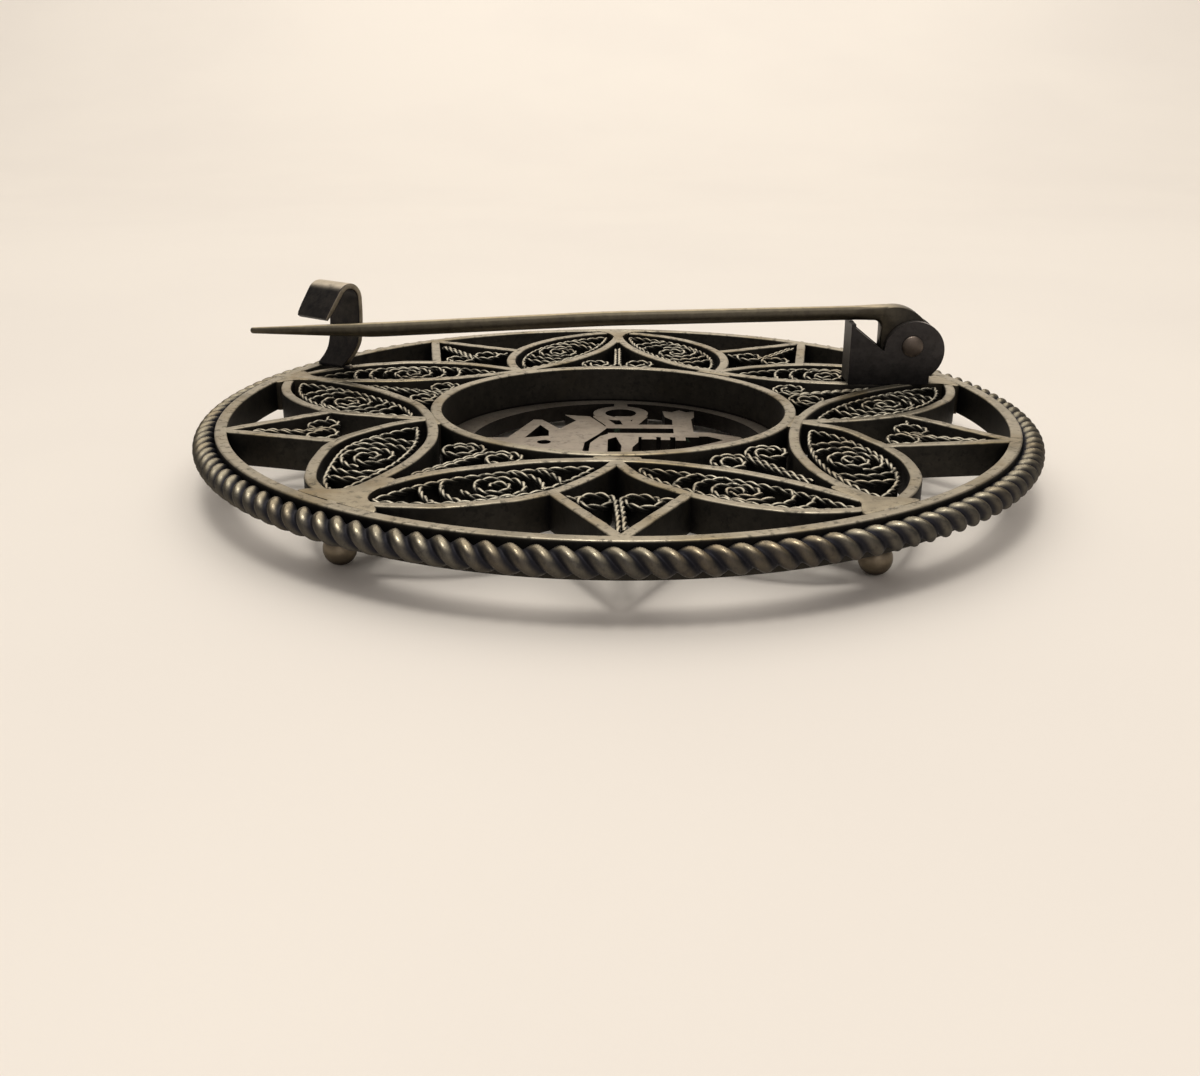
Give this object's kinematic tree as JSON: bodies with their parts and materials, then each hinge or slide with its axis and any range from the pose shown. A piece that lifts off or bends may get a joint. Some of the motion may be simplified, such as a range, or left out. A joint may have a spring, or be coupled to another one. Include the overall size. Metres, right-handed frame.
{
  "type": "egyptian revival brooch",
  "caption": "Round openwork filigree brooch with a rope border, a pierced centre plaque, ball feet on the face, and a hinged pin with a hooked catch on the back.",
  "frame": {"origin": "on the resting plane, under the middle of the round", "axes": "+Z out of the brooch's back, X along the pin with its point towards -X"},
  "size_m": [0.044, 0.044, 0.0084],
  "materials": {
    "openwork": "silver, worn bright on the edges and oxidised black in the recesses",
    "rope": "oxidised silver with bright rubbed ridges",
    "plaque": "dull silver with a brownish tarnish",
    "filigree": "oxidised silver wire, bright on top",
    "balls": "tarnished silver",
    "fittings": "black oxidised silver",
    "pin_wire": "dark polished wire with brassy highlights"
  },
  "bodies": {
    "brooch": {"openwork_frame": "openwork", "rope_border": "rope", "centre_plaque": "plaque", "petal_filigree_1": "filigree", "petal_filigree_2": "filigree", "petal_filigree_3": "filigree", "petal_filigree_4": "filigree", "petal_filigree_5": "filigree", "petal_filigree_6": "filigree", "petal_filigree_7": "filigree", "petal_filigree_8": "filigree", "petal_filigree_9": "filigree", "petal_filigree_10": "filigree", "kite_filigree_1": "filigree", "kite_filigree_2": "filigree", "kite_filigree_3": "filigree", "kite_filigree_4": "filigree", "kite_filigree_5": "filigree", "corner_filigree_1": "filigree", "corner_filigree_2": "filigree", "corner_filigree_3": "filigree", "corner_filigree_4": "filigree", "corner_filigree_5": "filigree", "face_ball_1": "balls", "face_ball_2": "balls", "face_ball_3": "balls", "face_ball_4": "balls", "face_ball_5": "balls", "catch": "fittings", "pin_hinge": "fittings", "hinge_rivet": "fittings"},
    "pin": {"pin": "pin_wire"}
  },
  "joints": [
    {"name": "pin_swing", "type": "hinge", "parent": "brooch", "child": "pin", "pos_m": [0.01672, 0.0062, 0.00555], "axis": [0, 1, 0], "range_deg": [0, 110]}
  ]
}
